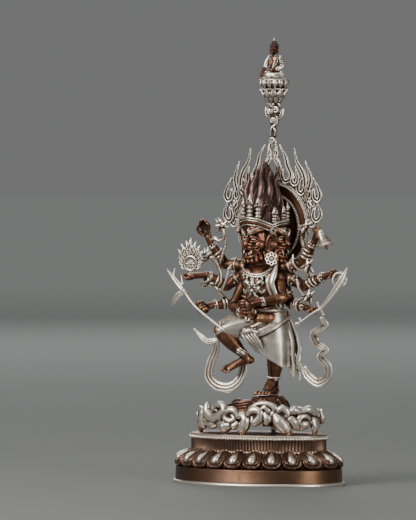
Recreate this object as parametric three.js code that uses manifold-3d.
// A many-armed wrathful guardian in copper and plated silver, dancing on clouds over a lotus pedestal.
// Millimetres, +Z up, the statue faces -Y, and the origin is the middle of the pedestal's underside.
import * as THREE from "three";
import { mergeVertices } from "three/addons/utils/BufferGeometryUtils.js";
import { ConvexGeometry } from "three/addons/geometries/ConvexGeometry.js";
import Module from "manifold-3d";

const wasm = await Module();
wasm.setup();

// Driving dimensions
const PEDESTAL_HALF_LENGTH = 70.2;
const PEDESTAL_HALF_DEPTH = 46.3;
const PEDESTAL_HEIGHT = 38;
const PETALS = 22;
const MEDIAN_X = 6; // the figure stands a little right of the pedestal's middle
const HEAD_TURN = -14; // degrees: the heads look towards the figure's right
const FACE_TURNS = [0, 98, -98]; // degrees round the heads' axis
const EAR_TURNS = [58, -58];
const HEAD_AXIS_Y = -2;
const HALO_Y = 12.5;
const HALO_Z = 194;
const FLAME_TOP_Z = 258;
const SEAT_Z = 307; // where the small seated figure sits
const GAP = 0.3; // between pieces that touch

const V = (x, y, z) => new THREE.Vector3(x, y, z);
const FRONT = V(0, -1, 0);
const UP = V(0, 0, 1);
const radians = THREE.MathUtils.degToRad;

// A value read along a list, as the share t runs from 0 to 1.
function along(list, t) {
  const at = Math.min(Math.max(t, 0), 1) * (list.length - 1);
  const low = Math.min(Math.floor(at), list.length - 2);
  return THREE.MathUtils.lerp(list[low], list[low + 1], at - low);
}

// A limb, cord or ribbon: a cylinder bent along the points, with a radius at each of them.
// face is the way its flat side looks; flat is its thickness over its width; grow makes it thicker all round.
function tube(points, radii, { sides = 6, steps = 2 * (points.length - 1), flat = 1, face = FRONT,
    grow = 0 } = {}) {
  const line = new THREE.CatmullRomCurve3(points, false, "centripetal");
  const bent = new THREE.CylinderGeometry(1, 1, 1, sides, steps);
  const place = bent.attributes.position;
  for (let i = 0; i < place.count; i++) {
    const t = place.getY(i) + 0.5;
    const ahead = line.getTangent(t);
    const out = face.clone().addScaledVector(ahead, -face.dot(ahead)).normalize();
    const side = ahead.clone().cross(out);
    const radius = along(radii, t);
    const p = line
      .getPoint(t)
      .addScaledVector(side, place.getX(i) * (radius + grow))
      .addScaledVector(out, place.getZ(i) * (radius * flat + grow));
    place.setXYZ(i, p.x, p.y, p.z);
  }
  return bent;
}

// A rounded lump with three half-sizes, swung round the vertical by so many degrees, and then placed.
function lump(centre, [rx, ry, rz], { sides = 6, rings = 4, swing = 0 } = {}) {
  const ball = new THREE.SphereGeometry(1, sides, rings);
  ball.rotateX(Math.PI / 2);
  ball.scale(rx, ry, rz);
  ball.rotateZ(radians(swing));
  ball.translate(centre.x, centre.y, centre.z);
  return ball;
}

// A turned form: [radius, height] pairs from the axis to the axis, upwards.
function turned(profile, segments) {
  const lathe = new THREE.LatheGeometry(profile.map(([r, z]) => new THREE.Vector2(r, z)), segments);
  lathe.rotateX(Math.PI / 2);
  return lathe;
}

// A geometry as a closed solid.
function solid(geometry) {
  const bare = new THREE.BufferGeometry().setAttribute("position", geometry.attributes.position.clone());
  if (geometry.index) bare.setIndex(geometry.index.clone());
  const merged = mergeVertices(bare, 1e-4);
  const index = merged.index.array;
  const corners = [];
  for (let i = 0; i < index.length; i += 3) {
    const [a, b, c] = index.slice(i, i + 3);
    if (a !== b && b !== c && c !== a) corners.push(a, b, c);
  }
  const vertProperties = merged.attributes.position.array;
  return new wasm.Manifold(new wasm.Mesh({ numProp: 3, vertProperties,
      triVerts: new Uint32Array(corners) }));
}

const join = (pieces) => wasm.Manifold.union(pieces.map(solid));

// The main body of a form, without the crumbs that a cut leaves.
const largest = (form) => form.decompose().sort((a, b) => b.volume() - a.volume())[0];

const copper = { color: 0x6b3f2a, metalness: 0.9, roughness: 0.42 };
const silver = { color: 0xd8d0c2, metalness: 0.9, roughness: 0.35 };

function mesh(name, form, finish) {
  const made = form.getMesh();
  const geometry = new THREE.BufferGeometry();
  geometry.setAttribute("position", new THREE.BufferAttribute(made.vertProperties, 3));
  geometry.setIndex(new THREE.BufferAttribute(made.triVerts, 1));
  const piece = new THREE.Mesh(geometry, new THREE.MeshStandardMaterial(finish));
  piece.name = name;
  return piece;
}

// Lotus pedestal: flange, plain band, a row of petals hanging over it, a fluted neck and a rim.
const OVAL = PEDESTAL_HALF_LENGTH - PEDESTAL_HALF_DEPTH;
const BAND_TOP = 12.7;
const NECK_HALF_LENGTH = 55;
const RIM_HALF_LENGTH = 56.3;
const RIM_FOOT = 35;

// The point on the pedestal's oval at a share of the way round, with the way it faces.
function onOval(share, halfLength, z = 0) {
  const angle = share * 2 * Math.PI;
  const halfDepth = halfLength - OVAL;
  const point = V(halfLength * Math.sin(angle), -halfDepth * Math.cos(angle), z);
  const facing = V(Math.sin(angle) / halfLength, -Math.cos(angle) / halfDepth, 0).normalize();
  return { point, facing };
}

// Shares of the way round that are evenly spaced along the oval's edge.
function evenShares(count, halfLength) {
  const fine = 1440;
  const reach = [0];
  for (let i = 1; i <= fine; i++) {
    const from = onOval((i - 1) / fine, halfLength).point;
    reach.push(reach[i - 1] + from.distanceTo(onOval(i / fine, halfLength).point));
  }
  return Array.from({ length: count }, (_, k) =>
      reach.findIndex((r) => r >= (k / count) * reach[fine]) / fine);
}

// A profile carried round the oval: [half-length, height] pairs from the axis to the axis.
function ovalTurned(profile, segments) {
  const form = turned(profile, segments);
  const place = form.attributes.position;
  for (let i = 0; i < place.count; i++) {
    const radius = Math.hypot(place.getX(i), place.getY(i));
    if (radius > OVAL) place.setY(i, (place.getY(i) * (radius - OVAL)) / radius);
  }
  return form;
}

// The petals and the fluted neck are one wall of four columns a petal. Each row gives [half-length, height]
// at a petal's middle, then at its shoulders, then in the gap beside it.
const NECK_RIDGE = NECK_HALF_LENGTH + 0.4;
const NECK_GROOVE = NECK_HALF_LENGTH - 0.9;
const WALL_ROWS = [
  [[61, 11.4], [61, 11.4], [61, 11.4]],
  [[67.6, 12.8], [66.8, 13.9], [62.4, 17]],
  [[66.8, 18.4], [65.2, 18.6], [60.4, 19.6]],
  [[56.4, 25], [55.4, 25], [54.4, 25]],
  [[NECK_RIDGE, 25.6], [NECK_GROOVE, 25.6], [NECK_RIDGE, 25.6]],
  [[NECK_RIDGE, RIM_FOOT + 1], [NECK_GROOVE, RIM_FOOT + 1], [NECK_RIDGE, RIM_FOOT + 1]],
];

function petalsAndNeck() {
  const columns = 4 * PETALS;
  const shares = evenShares(columns, 60);
  const wall = new THREE.CylinderGeometry(1, 1, 1, columns, WALL_ROWS.length - 1);
  const place = wall.attributes.position;
  for (let i = 0; i < place.count; i++) {
    const [x, y, z] = [place.getX(i), place.getY(i), place.getZ(i)];
    const column = (Math.round((Math.atan2(x, z) / (2 * Math.PI)) * columns) + columns) % columns;
    const row = WALL_ROWS[Math.round((y + 0.5) * (WALL_ROWS.length - 1))];
    const [halfLength, height] = row[[0, 1, 2, 1][column % 4]];
    const { point } = onOval(shares[column], halfLength);
    const inMiddle = Math.hypot(x, z) < 0.5;
    place.setXYZ(i, inMiddle ? 0 : point.x, inMiddle ? 0 : point.y, height);
  }
  return wall;
}

function lotusPedestal() {
  const foot = [
    [0, 0],
    [PEDESTAL_HALF_LENGTH, 0],
    [PEDESTAL_HALF_LENGTH, 2.4],
    [68, 3.2],
    [67.4, BAND_TOP],
    [0, BAND_TOP],
  ];
  const rim = [
    [0, RIM_FOOT],
    [RIM_HALF_LENGTH, RIM_FOOT],
    [RIM_HALF_LENGTH, PEDESTAL_HEIGHT],
    [0, PEDESTAL_HEIGHT],
  ];
  return join([ovalTurned(foot, 36), petalsAndNeck(), ovalTurned(rim, 36)]);
}

// Cloud bank: a ring of curling lobes round a low shell. Some reach down as feet,
// and light shows between them.
// Each lobe is [degrees round from the front, height, half-width, half-height, hand of its curl].
const CLOUD_FOOT = PEDESTAL_HEIGHT + GAP;
const CLOUD = { halfLength: 47, halfDepth: 24, shellZ: 50.5 };
const LOBES = [
  [-78, 49.6, 8, 5.8, 1],
  [-36, 52.6, 10, 8, -1],
  [-13, 49.6, 9.4, 7, 1],
  [13, 52.6, 9.4, 7.4, -1],
  [38, 50.4, 10, 6.8, 1],
  [60, 50, 8.6, 6.6, -1],
  [86, 50, 8.8, 6.6, 1],
  [126, 50, 16, 6.6, 0],
  [176, 51, 18, 7, 0],
  [230, 51, 16, 7, 0],
];
const CLOUD_FEET = [-80, -12, 38, 86, 180];

function onCloud(degrees, z, out = 0) {
  const angle = radians(degrees);
  return V((CLOUD.halfLength + out) * Math.sin(angle), -(CLOUD.halfDepth + out) * Math.cos(angle), z);
}

// The degrees by which a thing made facing the front is swung to face outwards there.
function swingAt(degrees) {
  const angle = radians(degrees);
  return THREE.MathUtils.radToDeg(Math.atan2(Math.sin(angle) / CLOUD.halfLength,
      Math.cos(angle) / CLOUD.halfDepth));
}

function cloudLobe([degrees, z, width, height, hand]) {
  const swing = swingAt(degrees);
  const body = lump(onCloud(degrees, z), [width, 6.4, height], { swing });
  if (!hand) return [body];
  const whorl = [0, 1, 2, 3].map((k) => {
    const turn = (hand * (k + 0.4) * Math.PI) / 2.2;
    const reach = 1 - 0.2 * k;
    const point = V(width * 0.62 * reach * Math.sin(turn), -5.2, height * 0.66 * reach * Math.cos(turn));
    return point.applyAxisAngle(UP, radians(swing)).add(onCloud(degrees, z));
  });
  const face = FRONT.clone().applyAxisAngle(UP, radians(swing));
  return [body, tube(whorl, [2.1, 2.5, 2.2, 1.3], { sides: 3, steps: 4, face })];
}

function cloudFoot(degrees) {
  const face = onCloud(degrees, 0).normalize();
  const line = [onCloud(degrees, 48), onCloud(degrees, 42.6, 1.2), onCloud(degrees, CLOUD_FOOT, 0.6)];
  return tube(line, [5, 3.4, 2.4], { sides: 5, steps: 2, face });
}

function cloudBank() {
  const shell = lump(V(0, 0, CLOUD.shellZ), [CLOUD.halfLength, CLOUD.halfDepth, 4.6], { sides: 12 });
  const bank = join([shell, ...LOBES.flatMap(cloudLobe), ...CLOUD_FEET.map(cloudFoot)]);
  return bank.subtract(join([moundBody(GAP), moundPeg(GAP), crag(GAP)]));
}

// Rock mound under the standing foot, with a low crag beside it and a peg down through the cloud.
const MOUND_TOP = 67.1;
const MOUND = V(10.5, -4, 0);

function moundPeg(grow = 0) {
  const peg = new THREE.BoxGeometry(9 + 2 * grow, 9 + 2 * grow, 14);
  peg.translate(MOUND.x, MOUND.y, 50.5);
  return peg;
}

function moundBody(grow = 0) {
  const foot = 52 - grow;
  const profile = [
    [0, foot],
    [16.6 + grow, foot],
    [15.6 + grow, 58],
    [13.2 + grow, 63.4],
    [11, MOUND_TOP],
    [0, MOUND_TOP],
  ];
  const body = turned(profile, 11);
  body.translate(MOUND.x, MOUND.y, 0);
  return body;
}

function crag(grow = 0) {
  const ridge = [V(4, -6, 57), V(-6, -9, 59), V(-15, -9, 58.6), V(-22, -8, 57)];
  return tube(ridge, [7, 5.2, 4.2, 2], { sides: 7, steps: 4, grow });
}

function rockMound() {
  const nub = lump(V(-14, -8, 62.2), [4.4, 2.6, 1.8], { sides: 5, rings: 3 });
  return join([moundBody(), moundPeg(), crag(), nub]);
}

// The figure's eight arms: shoulder, elbow and wrist, then the middle of the hand
const ARMS = {
  rightRaised: { line: [V(-9, 0, 164), V(-28.5, -2, 166.4), V(-37, -8, 182)], hand: V(-40, -9.5, 190.4) },
  rightWheel: { line: [V(-8, -1, 160), V(-25.5, -4, 149.5), V(-37, -14, 158)], hand: V(-45, -17.5, 157) },
  rightSpear: { line: [V(-7, 0, 155), V(-21.5, 1, 136), V(-33.5, -12, 135)], hand: V(-39.5, -17, 132) },
  rightFront: { line: [V(-6, -4, 157), V(-17, -9, 134.5), V(-4, -18, 129.5)], hand: V(4, -20, 128.6) },
  leftBell: { line: [V(20, 0, 164), V(37.2, 0, 167), V(49.6, -4, 184)], hand: V(53.6, -6.4, 191.4) },
  leftNoose: { line: [V(20, 1, 159), V(38.5, 0, 150), V(60, -6, 158)], hand: V(67.5, -7.5, 159.2) },
  leftSword: { line: [V(19, 1, 153), V(26, 3, 136.5), V(44.5, -7, 134)], hand: V(51.6, -9.6, 131.6) },
  leftFront: { line: [V(18, -4, 157), V(26, -11, 141.5), V(12, -21.5, 138)], hand: V(4, -24, 136) },
};
const ARM_FACE = V(0.3, 0.2, 1).normalize();

function arm({ line }) {
  const [shoulder, elbow, wrist] = line;
  const points = [shoulder, shoulder.clone().lerp(elbow, 0.5), elbow, elbow.clone().lerp(wrist, 0.35),
      wrist];
  return tube(points, [5.2, 4.6, 3.7, 3.8, 2.6], { sides: 5, steps: 5, face: ARM_FACE });
}

// A palm runs from the wrist past the middle of the hand. reach tells how far past it, flat how thin it is.
function palm({ line, hand }, { reach = 1.2, flat = 0.6, face = FRONT, width = 3.3 } = {}) {
  const end = line[2].clone().lerp(hand, reach);
  return tube([line[1].clone().lerp(line[2], 0.9), end], [2.5, width], { sides: 5, steps: 1, flat, face });
}

// Fingers of a hand: each is [root, knuckle, tip], measured from the middle of the hand.
function fingers({ hand }, rows, radius = 0.95) {
  return rows.map((row) => {
    const points = row.map(([x, y, z]) => V(x, y, z).add(hand));
    return tube(points, [radius, radius, radius * 0.6], { sides: 3, steps: 2, face: V(0.35, -0.85, 0.4) });
  });
}

function fist(holder) {
  const roll = [holder.hand.clone().add(V(-2.4, -2, 1.6)), holder.hand.clone().add(V(2.6, -2, -1.4))];
  return [palm(holder, { flat: 0.85 }), tube(roll, [2.1, 2.1], { sides: 4, steps: 1, face: UP })];
}

// The raised hand: forefinger and thumb hooked towards each other.
function hookedHand() {
  const rows = [
    [[-2.4, -0.4, 1.4], [-3.4, -2.6, 6], [-1.4, -5, 9]],
    [[-0.8, -0.4, 1.6], [-0.8, -1.6, 7.4], [-0.6, -4.2, 9.6]],
    [[1, -0.3, 1.6], [2, -1.4, 6.8], [0.8, -4, 8.4]],
    [[-2, -1, -2.4], [-5, -3, 1.4], [-3.4, -4.4, 6]],
  ];
  return [palm(ARMS.rightRaised), ...fingers(ARMS.rightRaised, rows)];
}

// The open hand, palm up, its fingers running out to the side.
function openHand() {
  const rows = [-2.4, -0.8, 0.8, 2.4].map((y) => [[-0.4, y, 0], [-5.4, y - 0.6, -1.2],
      [-8.4, y - 0.8, 0.2]]);
  rows.push([[1, -2, 0], [-0.6, -5.4, 0.4], [-3.6, -5.6, 1.2]]);
  return [palm(ARMS.rightWheel, { face: UP, flat: 0.5 }), ...fingers(ARMS.rightWheel, rows)];
}

// The hand at the spear: the forefinger points, the others curl round the shaft.
function pointingHand() {
  const rows = [-0.6, -2.4, -4].map((z) => [[-0.6, 0, z], [-5, -2.2, z - 1.6], [-5.2, -5.6, z - 3]]);
  rows.push([[-0.6, -0.6, 1.4], [-4.4, -2, 3.6], [-8.8, -3, 4]]);
  return [palm(ARMS.rightSpear, { flat: 0.8 }), ...fingers(ARMS.rightSpear, rows)];
}

// The hand laid across the belly, its fingers side by side.
function laidHand() {
  const rows = [2.6, 0.9, -0.8, -2.4].map((z) => [[0.6, 0, z], [-3.8, -0.4, z - 0.3], [-7, 0.6, z - 0.9]]);
  return [palm(ARMS.leftFront, { width: 3.8 }), ...fingers(ARMS.leftFront, rows)];
}

// Serpents coiled at the wrists, their necks and heads standing clear of the arms.
const SERPENTS = [
  [V(-36, -7.4, 179), V(-30.5, -8, 181), V(-27, -9, 187), V(-28, -9.5, 194), V(-30.5, -10, 197.4)],
  [V(-27, -5.6, 151), V(-29.6, -8, 161), V(-33, -12, 168), V(-36.4, -15, 170)],
  [V(-24.6, -2.6, 137), V(-28, -8, 145), V(-37, -13, 150.6), V(-45, -16, 148.4)],
  [V(46, -2.8, 180), V(40.8, -4, 180), V(39.6, -5, 187), V(43, -6, 195)],
  [V(45, -2, 152.6), V(45, -7, 159), V(46.6, -9.4, 164.6), V(48, -10, 168)],
  [V(36, -2.6, 136), V(42, -9, 139), V(47.4, -10.6, 142), V(49, -11, 145)],
];

function serpent(points) {
  const face = V(0.2, -1, 0.3);
  const last = points.at(-1);
  const muzzle = last.clone().add(last.clone().sub(points.at(-2)).setLength(3.4));
  return [
    tube(points, [1.5, 1.4, 1.4, 1.4], { sides: 4, steps: 4, face }),
    tube([points.at(-2).clone().lerp(last, 0.8), last, muzzle], [1.1, 2.4, 0.7],
        { sides: 4, steps: 2, face }),
  ];
}

// The raised leg, its foot pointing down across the body.
function raisedLeg() {
  const thighEnd = V(-14, -14, 117.6);
  const knee = V(-20.8, -19.6, 115.6);
  const ankle = V(-4.8, -15, 98.4);
  const thigh = tube([thighEnd, knee], [7.4, 6.4], { steps: 1 });
  const shin = tube([knee.clone().add(V(-2.4, -0.8, 1.6)), knee, V(-12.8, -17.6, 106.4), ankle],
      [3.6, 6.6, 5.9, 3.5], { steps: 4 });
  const heel = tube([ankle, V(-2, -14, 93.6)], [3.5, 3.4], { steps: 1 });
  const foot = tube([V(0.6, -12.8, 93.6), V(-6, -16, 92.6), V(-16.4, -22, 86)], [3, 3.5, 1.6],
      { steps: 4, face: V(0.3, -0.5, 0.8).normalize() });
  return [thigh, shin, heel, foot];
}

const SOLE = MOUND_TOP + GAP;

function standingLeg() {
  const leg = tube([V(12, 0, 114), V(15, -1.5, 102), V(14, 0, 91), V(11.6, 2, 80),
      V(11.6, 1.6, SOLE + 2.6)], [9, 7, 6, 3.9, 3.9], { steps: 5 });
  const foot = tube([V(11.8, 5.4, SOLE + 2.4), V(11.8, -1, SOLE + 3), V(11.6, -8, SOLE + 2.4),
      V(11.6, -14.4, SOLE + 2.3)], [2.8, 3.7, 4.1, 4.4], { steps: 3, flat: 0.48, face: UP });
  const toes = [-3.6, -1.5, 0.4, 2, 3.5].map((x, k) => lump(V(11.6 + x, -15 + 0.75 * k, SOLE + 1.5),
      [1.3 - 0.1 * k, 2.6, 1.3], { sides: 4, rings: 2 }));
  return [leg, foot, ...toes];
}

// The kilt: one cloth over the raised thigh and the standing leg, its hem falling towards the figure's left.
function kilt() {
  const overThigh = [
    V(-20, -12, 121.4), V(-26, -19, 116), V(-21, -24.6, 117), V(-19, -22.6, 108.4), V(-15, -10, 108.4),
    V(4, -14, 131), V(4, 10, 131), V(-6, 8, 122), V(-2, -19, 116), V(-4, -17, 101), V(4, 8, 104),
  ];
  const overLeg = [
    V(-8, -2, 130.6), V(8, -13, 132.6), V(8, 10.4, 132.6), V(23.4, -2, 131), V(-6, -14, 112),
    V(-6, 8, 112), V(27.6, -6, 108), V(27.6, 6, 108), V(14, -17, 112), V(14, 12, 112),
    V(-1, -14.6, 99), V(0, 6, 101), V(12, -14.6, 94.6), V(27, -6, 92.4), V(27, 5, 92.4), V(12, 10, 95),
  ];
  const apron = tube([V(-3, -17.4, 114), V(-3, -17.4, 107), V(1.6, -15.2, 98)], [3.4, 4.6, 3.4],
      { sides: 4, steps: 2, flat: 0.6 });
  return [new ConvexGeometry(overThigh), new ConvexGeometry(overLeg), apron, ...kiltEdges()];
}

// The rolled waist cloth and the tails that hang at the figure's left.
function kiltEdges() {
  const tail = tube([V(22, 0, 106), V(26, 0.5, 95), V(28.4, 0.6, 87), V(29.8, 0, 79.6)],
      [6, 4.8, 2.8, 0.9], { sides: 4, steps: 3, flat: 0.45 });
  const sash = tube([V(21, 4, 130), V(27.4, 5, 116), V(31, 5, 102), V(30.6, 4.6, 90), V(33.6, 4, 77)],
      [3, 2.6, 3.8, 3.2, 1.4], { sides: 4, steps: 4, flat: 0.4 });
  const roll = tube([V(24, 2, 127), V(19, -11, 119), V(8, -17, 113.4), V(-3, -19, 113.6)],
      [2.6, 2.6, 2.6, 3.6], { sides: 4, steps: 4, face: UP });
  const belt = new THREE.TorusGeometry(14.4, 1.9, 3, 12);
  belt.scale(1, 0.84, 1);
  belt.translate(7.5, -1.5, 131);
  return [tail, sash, roll, belt];
}

function torso() {
  const trunk = tube([V(8, -1, 122), V(7, -3.4, 133), V(6, -4, 145), V(6, -2, 157), V(6, -1, 166),
      V(6, -2, 172)], [14, 15, 17, 17.4, 11.5, 9], { sides: 8, steps: 5, flat: 0.78 });
  const belly = lump(V(6.5, -9, 142.5), [11.5, 8.4, 9.5]);
  const chest = [-8, 8].map((x) => lump(V(6 + x, -9.4, 157.5), [7, 6, 5.4], { sides: 5 }));
  const collar = tube([V(-6, -10.4, 164.4), V(-1, -15, 158.8), V(6.4, -17, 156.6), V(14, -15, 158.8),
      V(18.4, -10, 164.4)], [1.5, 1.7, 1.9, 1.7, 1.5], { sides: 3, steps: 4 });
  const mask = lump(V(10, -18.6, 148), [5.4, 4.2, 5.2], { sides: 5, rings: 3 });
  const shawl = tube([V(18.4, -8, 167), V(19.6, -13.6, 158), V(18.6, -16, 149), V(22, -14, 140),
      V(24.6, -10, 132)], [2.4, 3.2, 2.8, 2.4, 1.4], { sides: 4, steps: 4, flat: 0.5 });
  return [trunk, belly, ...chest, collar, mask, shawl];
}

// A piece made facing the front round the heads' common axis, swung by so many degrees and set in place.
function roundHead(piece, degrees = 0) {
  piece.rotateZ(radians(HEAD_TURN + degrees));
  piece.translate(MEDIAN_X, HEAD_AXIS_Y, 0);
  return piece;
}

// One fierce face, made looking along -Y: brows, bulging eyes, broad nose, open mouth and knobbed beard.
function face(degrees) {
  const both = (make) => [-1, 1].map(make);
  const skull = lump(V(0, -9, 183.4), [11.2, 12, 15.6], { sides: 7, rings: 5 });
  const cheeks = both((s) => lump(V(6 * s, -16.8, 179.4), [3.8, 3.8, 3.6], { sides: 4, rings: 3 }));
  const jaw = lump(V(0, -14, 172.8), [8, 7, 4.6], { rings: 3 });
  const nose = new ConvexGeometry([V(0, -20, 186), V(-3.6, -19, 178.6), V(3.6, -19, 178.6),
      V(0, -25, 179.4), V(0, -18, 177.4), V(0, -17, 187)]);
  const brows = both((s) =>
      tube([V(0.8 * s, -20.6, 185.4), V(4.4 * s, -20.6, 188.6), V(9 * s, -15.4, 190)], [1.2, 1.6, 0.8],
      { sides: 3, steps: 2, face: UP }));
  const eyes = both((s) => lump(V(4.5 * s, -19.6, 184.4), [2.5, 2.1, 1.9], { sides: 4, rings: 2 }));
  const lips = tube([V(-5.6, -17.6, 173.6), V(-2.4, -21, 176.2), V(2.4, -21, 176.2),
      V(5.6, -17.6, 173.6)], [1, 1.3, 1.3, 1], { sides: 3, steps: 3 });
  return [skull, jaw, nose, lips, ...cheeks, ...brows, ...eyes].map((piece) => roundHead(piece, degrees));
}

// How high the crown's band runs: over each face it rises, and beside the ears it dips to a stud.
const BAND_RISE = [
  [0, 199.6],
  [25, 198.6],
  [60, 194.2],
  [80, 196.4],
  [98, 196.8],
  [125, 196.2],
  [180, 196.2],
];

function bandHeight(degrees) {
  const k = Math.max(1, BAND_RISE.findIndex(([end]) => degrees <= end));
  const [[from, low], [to, high]] = [BAND_RISE[k - 1], BAND_RISE[k]];
  return THREE.MathUtils.mapLinear(degrees, from, to, low, high);
}

function crownBand() {
  const band = new THREE.TorusGeometry(17.8, 2.2, 4, 24);
  const place = band.attributes.position;
  for (let i = 0; i < place.count; i++) {
    const degrees = Math.abs(THREE.MathUtils.radToDeg(Math.atan2(place.getX(i), -place.getY(i))));
    place.setZ(i, place.getZ(i) + bandHeight(degrees));
  }
  return roundHead(band);
}

// The crown's tapering columns as [degrees round the axis, foot, tip]: tiers with a pointed jewel above.
const CROWN_COLUMNS = [
  [-24, 199, 216.4],
  [2, 200, 219.6],
  [26, 199, 216.8],
  ...[1, -1].flatMap((side) => [
    [68 * side, 194, 209.4],
    [98 * side, 196, 210.4],
    [126 * side, 196, 213.4],
  ]),
];

function crownColumn([degrees, foot, tip]) {
  const waist = THREE.MathUtils.lerp(foot, tip, 0.5);
  const shoulder = THREE.MathUtils.lerp(foot, tip, 0.66);
  const column = turned([[0, foot], [2.6, foot], [1.9, waist], [2.7, shoulder], [0, tip]], 4);
  column.scale(1, 0.8, 1);
  column.translate(0, -17.4, 0);
  return roundHead(column, degrees);
}

// Hair standing up as one flame with smaller tongues round it.
function hair() {
  const mass = tube([V(6, -1.5, 190), V(6, -1.5, 204), V(6, -0.5, 216), V(5, 0, 228), V(6, 0.5, 236),
      V(4.4, 0.5, 244)], [18, 17.6, 13.4, 8.4, 4.4, 0.7], { sides: 7, steps: 5 });
  const tongues = [-60, -20, 25, 70, 120, 240].map((degrees, k) => {
    const at = (reach, sway, z) => V(0, -reach, z).applyAxisAngle(UP,
        radians(degrees + sway)).add(V(MEDIAN_X, -1, 0));
    return tube([at(13, 0, 205), at(13.6, 6, 215), at(9.6, 6, 225 + (k % 3) * 2.4)], [4.2, 3.6, 0.5],
        { sides: 4, steps: 2 });
  });
  return [mass, ...tongues];
}

function heads() {
  const beside = (make) => EAR_TURNS.map((degrees) => roundHead(make(), degrees));
  const studs = beside(() => lump(V(0, -17.4, 191.4), [2.6, 2.2, 2.6], { sides: 5, rings: 3 }));
  const ears = beside(() => lump(V(0, -12.4, 180), [3.6, 4.2, 9], { sides: 5, rings: 3 }));
  const rosettes = beside(() => lump(V(0, -15.6, 170.6), [4.8, 3, 4.8], { rings: 3 }));
  return [
    ...FACE_TURNS.flatMap(face),
    crownBand(),
    ...studs,
    ...ears,
    ...rosettes,
    ...CROWN_COLUMNS.map(crownColumn),
    ...hair(),
  ];
}

function figure() {
  return join([
    ...torso(),
    ...raisedLeg(),
    ...standingLeg(),
    ...kilt(),
    ...Object.values(ARMS).map(arm),
    ...hookedHand(),
    ...openHand(),
    ...pointingHand(),
    ...laidHand(),
    ...["rightFront", "leftBell", "leftNoose", "leftSword"].flatMap((name) => fist(ARMS[name])),
    ...SERPENTS.flatMap(serpent),
    ...heads(),
  ]);
}

// Halo: an oval plate behind the heads, dished inside a broad ring with two raised edges.
const HALO = { halfWidth: 30, halfHeight: 34, dish: 0.72 };

function halo(grow = 0) {
  const front = HALO_Y - 1.2 - grow;
  const back = HALO_Y + 1.2 + grow;
  const edge = 1 + grow / HALO.halfWidth;
  const profile = [
    [0, back],
    [edge, back],
    [edge, front],
    [0.95, front],
    [0.95, front + 0.8],
    [HALO.dish + 0.05, front + 0.8],
    [HALO.dish + 0.05, front],
    [HALO.dish, front],
    [HALO.dish, front + 1.2],
    [0, front + 1.2],
  ];
  const plate = new THREE.LatheGeometry(profile.map(([r, y]) => new THREE.Vector2(r, y)).reverse(), 26);
  plate.scale(HALO.halfWidth, 1, HALO.halfHeight);
  plate.translate(MEDIAN_X, 0, HALO_Z);
  return plate;
}

// Flame aureole: a flat band round the halo with tongues rising from it. The innermost meet under the stem.
// Each tongue is [degrees round from the top, reach to the side, height of its tip, half-width].
const TONGUES = [
  [9, 1.8, FLAME_TOP_Z, 1.8],
  [25, 7, FLAME_TOP_Z - 1, 1.8],
  [42, 18, 252.4, 2],
  [58, 29, 244, 2],
  [70, 26.4, 231.4, 1.6],
  [76, 34.8, 229.6, 2],
  [84, 40, 216, 2.2],
];
const FLAME_DEPTH = 2.6;

// The point round the halo, out from its edge, in the plane of the flames.
function roundHalo(degrees, out) {
  const angle = radians(degrees);
  return new THREE.Vector2((HALO.halfWidth + out) * Math.sin(angle),
      (HALO.halfHeight + out) * Math.cos(angle));
}

// A flat form cut from the flames' plane.
function flamePlate(points, depth) {
  const plate = new THREE.ExtrudeGeometry(new THREE.Shape(points), { depth, bevelEnabled: false });
  plate.rotateX(Math.PI / 2);
  plate.translate(MEDIAN_X, HALO_Y + depth / 2, HALO_Z);
  return plate;
}

// One tongue, leaning out from the band, then in, with a pointed tip.
function tongue([degrees, side, high, half], hand) {
  const foot = roundHalo(degrees, 2.6);
  const run = new THREE.Vector2(side, high - HALO_Z).sub(foot);
  const across = new THREE.Vector2(run.y, -run.x).normalize();
  const bow = Math.min(4, run.length() * 0.16);
  const middle = [0, 0.2, 0.42, 0.7].map((t, k) => foot.clone().addScaledVector(run,
      t).addScaledVector(across, bow * [0, 1, 0.6, -0.6][k]));
  const edge = (way) => middle.map((p, k) =>
      p.clone().addScaledVector(across, way * half * [1.3, 1.1, 0.9, 0.75][k]));
  const outline = [...edge(-1), foot.clone().add(run), ...edge(1).reverse()];
  return flamePlate(outline.map((p) => new THREE.Vector2(hand * p.x, p.y)), FLAME_DEPTH - 0.01 * degrees);
}

function aureole() {
  const ring = (out) => Array.from({ length: 21 }, (_, k) => roundHalo(9 * (10 - k), out(k)));
  const band = flamePlate([...ring((k) => 3.2 + 0.6 * (k % 2)).reverse(), ...ring(() => GAP + 0.2)],
      FLAME_DEPTH);
  const crossing = lump(V(MEDIAN_X, HALO_Y, FLAME_TOP_Z - 0.6), [3.4, 1.9, 1.6], { rings: 3 });
  return join([band, crossing, ...[1, -1].flatMap((hand) => TONGUES.map((row) => tongue(row, hand)))]);
}

// Stem: a slender scrolled stalk with a swelling knot, carrying a double lotus throne.
const STEM_X = MEDIAN_X + 1;

function lotusStem() {
  const line = [[6, FLAME_TOP_Z + 1 + GAP], [6, 264], [7.2, 270], [7.8, 277], [7.4, 285],
      [STEM_X, 292]].map(([x, z]) => V(x, HALO_Y, z));
  const stalk = tube(line, [2.4, 2.4, 2.4, 4, 4.6, 4.2], { sides: 6, steps: 7 });
  const scrolls = [-1, 1].map((side) => lump(V(7.4 + 5 * side, HALO_Y, 284.4), [3.4, 3, 4.2],
      { sides: 5 }));
  const curl = lump(V(7.4, HALO_Y - 3, 284), [3.6, 2.6, 3.6], { sides: 6, rings: 3 });
  const throne = turned(
    [[0, 290], [5.4, 290], [8.8, 295], [10.8, 299.8], [9.6, 301.2], [12.8, 304.4], [11.8, SEAT_Z - GAP],
        [0, SEAT_Z - GAP]],
    14,
  );
  throne.scale(1, 0.78, 1);
  throne.translate(STEM_X, HALO_Y, 0);
  return join([stalk, curl, ...scrolls, throne]);
}

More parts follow.
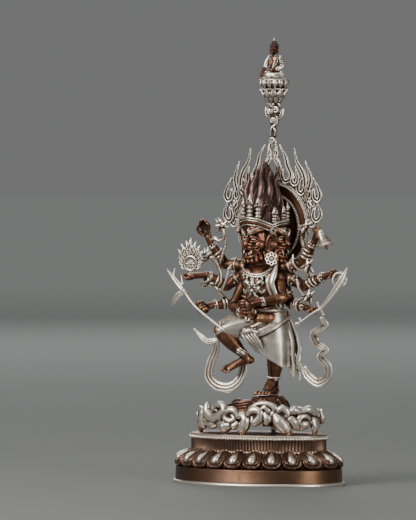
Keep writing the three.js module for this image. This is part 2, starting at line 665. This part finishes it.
// The small seated figure: robed, one hand reaching down over the knee, a pointed topknot.
function seatedFigure() {
  const at = (x, y, z) => V(STEM_X + x, HALO_Y + y, SEAT_Z + z);
  const lap = turned([[0, 0], [9.4, 0], [9.8, 2], [7.6, 4.4], [3.4, 6], [0, 6]], 10);
  lap.scale(1, 0.66, 1);
  lap.translate(STEM_X, HALO_Y - 0.6, SEAT_Z);
  const body = tube([at(0, 1, 3), at(0, 1.2, 8), at(0, 0.8, 14), at(0, 0.4, 17.4), at(0, 0.2, 20)],
      [5.2, 4.4, 5.8, 3.6, 1.9], { sides: 7, steps: 4, flat: 0.7 });
  const head = lump(at(0, -0.4, 22.4), [3.1, 3.1, 3.8]);
  const topknot = turned([[0, 0], [3.4, 0], [3, 1.4], [1.4, 2.6], [0, 7]], 6);
  topknot.translate(STEM_X, HALO_Y - 0.2, SEAT_Z + 24.4);
  const reaching = tube([at(-4.8, 0.6, 15.4), at(-7.4, -2, 9), at(-8.6, -5.6, 1.4)], [2, 1.5, 0.9],
      { sides: 5, steps: 4 });
  const resting = tube([at(4.8, 0.6, 15.4), at(7.2, -0.6, 9), at(0.6, -5, 6.4)], [2.4, 2.1, 1.2],
      { sides: 5, steps: 4 });
  return join([lap, body, head, topknot, reaching, resting]);
}

// Flaming wheel: a hubbed ring before a plate of flames, standing on the open hand.
function flamingWheel() {
  const middle = V(-48.8, -18, 166.6);
  const outline = Array.from({ length: 19 }, (_, k) => {
    const angle = radians(-115 + (230 * k) / 18);
    const reach = (k % 2 ? 9 : 5.4) + (k % 2 ? 9.4 : 4.6) * Math.cos(angle / 1.6);
    return new THREE.Vector2(reach * Math.sin(angle) * 0.66, reach * Math.cos(angle));
  });
  const plate = new THREE.ExtrudeGeometry(new THREE.Shape(outline), { depth: 1.4, bevelEnabled: false });
  plate.rotateX(Math.PI / 2);
  plate.translate(middle.x, middle.y + 1.6, middle.z);
  const ring = new THREE.TorusGeometry(4.4, 1, 4, 12);
  ring.rotateX(Math.PI / 2);
  ring.translate(middle.x, middle.y, middle.z);
  const hub = lump(middle, [1.7, 1.2, 1.7], { sides: 6, rings: 3 });
  const seat = tube([V(middle.x, middle.y, 162.6), V(middle.x + 0.8, middle.y, 159.6)], [2.4, 2.6],
      { sides: 6, steps: 1, flat: 0.5 });
  return join([plate, ring, hub, seat]);
}

// Trident: a long shaft past the fist, three prongs, and a leaf blade hanging from its collar.
const SPEAR = { end: V(-13.4, -31.4, 116.8), hand: V(-40.4, -23.6, 132.8),
    collar: V(-54.1, -18.4, 145.4), tip: V(-72.3, -12.6, 162.1) };

function spearShaft(grow = 0) {
  return tube([SPEAR.end, SPEAR.hand, SPEAR.collar], [1, 1.15, 1.3],
      { sides: 5, steps: 3, face: UP, grow });
}

function trident() {
  const { collar, tip } = SPEAR;
  const long = tube([collar, V(-63, -15.4, 153.6), tip], [1.6, 1.7, 0.4], { sides: 5, steps: 2, face: UP });
  const hooks = [
    [V(-59.4, -16.6, 150.2), V(-64.6, -15.4, 156), V(-64.6, -14, 162.4)],
    [V(-58, -17, 148.8), V(-57.6, -16, 154), V(-59.4, -14.4, 158)],
  ].map((points) => tube(points, [1.3, 1.2, 0.3], { sides: 4, steps: 3 }));
  const knob = lump(collar, [2.6, 2.4, 2.6], { sides: 5, rings: 3 });
  const blade = tube([V(-54.6, -18.4, 145), V(-59.6, -18.2, 141), V(-65.4, -17.6, 134.2)], [1.8, 3, 0.4],
      { sides: 5, steps: 3, flat: 0.4 });
  return join([spearShaft(), long, ...hooks, knob, blade]);
}

// Bell: a thin hollow cup on a short handle, its mouth tilted away from the figure.
const BELL = V(57, -9.6, 192.4); // where its crown meets the fist

function hangFromBell(form) {
  form.rotateY(radians(-22));
  form.translate(BELL.x, BELL.y, BELL.z);
  return form;
}

function bellHandle() {
  return hangFromBell(turned([[0, -2.2], [1.3, -2.2], [1.3, 3.4], [0, 3.4]], 5));
}

// The room that the bell's handle and shoulder take up in the fist.
function bellSeat() {
  return hangFromBell(turned([[0, -9], [4.2, -8], [3.4, -2.8], [2, -0.8], [1.7, 3.8], [0, 3.8]], 6));
}

function bell() {
  const cup = [[0, -2.6], [2.3, -3.6], [2.9, -8], [4.5, -11.9], [4.8, -12.6], [5.5, -12.6], [5.2, -11.6],
      [3.6, -8], [2.8, -3.4], [1.5, -1.6], [0, -1.2]];
  return join([hangFromBell(turned(cup, 11)), bellHandle()]);
}

function bellClapper() {
  return hangFromBell(turned([[0, -15], [1.2, -14.4], [1.3, -12.6], [0.5, -11], [0.5, -4.2], [0, -4.2]],
      6));
}

// Sword: broad near its point, narrow at the guard, the hilt held low in the hand.
function swordHilt(grow = 0) {
  return tube([V(44.8, -13.4, 124.6), V(52, -13.4, 129.4), V(59.6, -13.6, 133.4)], [1.2, 1.2, 1.2],
      { sides: 5, steps: 2, face: UP, grow });
}

function sword() {
  const blade = tube([V(59.6, -13.6, 133.2), V(69, -14.6, 143.4), V(78, -15.4, 155),
      V(82.4, -15.6, 164)], [1.4, 2.3, 3.3, 0.4], { sides: 6, steps: 5, flat: 0.32 });
  const guard = tube([V(57.4, -13.6, 136.4), V(61.6, -13.6, 129.6)], [1.6, 1.6], { sides: 5, steps: 1 });
  const pommel = tube([V(46, -13.4, 125.4), V(42.4, -13.4, 123.2), V(38.8, -13.4, 121.4)],
      [1.4, 2.6, 0.6], { sides: 5, steps: 2, flat: 0.7 });
  return join([swordHilt(), blade, guard, pommel]);
}

// Noose: a rope ring hooked over the fist.
function noose(grow = 0) {
  const rope = new THREE.TorusGeometry(5.2, 0.9 + grow, 5, 12);
  rope.rotateX(Math.PI / 2);
  rope.rotateZ(0.5);
  rope.translate(73.2, -8.6, 155.4);
  return rope;
}

// Scarves: flat ribbons that swing clear of the body.
function legScarf(grow = 0) {
  const points = [
    V(-49, -12, 117), V(-41.6, -13, 110.6), V(-36.5, -13, 107.2), V(-29.6, -12.8, 107.4),
    V(-31, -12, 99.4), V(-34.8, -12, 90.6),
    V(-36, -12, 80.6), V(-29.6, -12, 73.8), V(-19.4, -12, 72.4), V(-11.4, -11, 77.4),
    V(-8.2, -9.6, 86.4), V(-9.4, -9, 95),
  ];
  const widths = [0.6, 2.2, 2.4, 2.2, 3.2, 3.6, 3.9, 4, 3.9, 3.7, 3.2, 2.6];
  return tube(points, widths, { sides: 5, steps: 20, flat: 0.36, face: V(0.15, -1, 0.1).normalize(),
      grow });
}

function handScarf(grow = 0) {
  const points = [
    V(58, -8.4, 126.4), V(60.2, -7.4, 120.4), V(49.4, -4.6, 114.6), V(50.6, -3, 107.4),
    V(57.6, -2, 102.2), V(53, -0.6, 96.6),
    V(58, 1, 89.4), V(57, 2, 81.4), V(49.4, 3, 77), V(41, 4, 81.4), V(36.4, 4.6, 88),
  ];
  const widths = [1.6, 2.6, 3, 3, 3, 3, 3.3, 3.6, 3.8, 3.6, 2.6];
  return tube(points, widths, { sides: 5, steps: 20, flat: 0.36, face: V(0.25, -1, 0.25).normalize(),
      grow });
}

function statue() {
  const behindHeads = new THREE.BoxGeometry(60, 20, 70);
  behindHeads.translate(MEDIAN_X, HALO_Y - 1.2 - GAP + 10, HALO_Z);
  const held = join([spearShaft(GAP), swordHilt(GAP), bellSeat(), noose(GAP), legScarf(GAP),
      handScarf(GAP), behindHeads]);
  const group = new THREE.Group();
  group.add(
    mesh("lotus_pedestal", lotusPedestal(), copper),
    mesh("cloud_bank", cloudBank(), silver),
    mesh("rock_mound", rockMound(), copper),
    mesh("guardian_figure", largest(figure().subtract(held)), copper),
    mesh("halo_disc", join([halo()]), copper),
    mesh("flame_aureole", aureole(), silver),
    mesh("lotus_stem", lotusStem(), silver),
    mesh("seated_figure", seatedFigure(), silver),
    mesh("flaming_wheel", flamingWheel(), silver),
    mesh("trident", trident(), silver),
    mesh("bell", bell(), silver),
    mesh("bell_clapper", join([bellClapper()]), silver),
    mesh("sword", sword(), silver),
    mesh("noose", join([noose()]), silver),
    mesh("leg_scarf", join([legScarf()]), silver),
    mesh("hand_scarf", join([handScarf()]), silver),
  );
  return group;
}

export default statue();
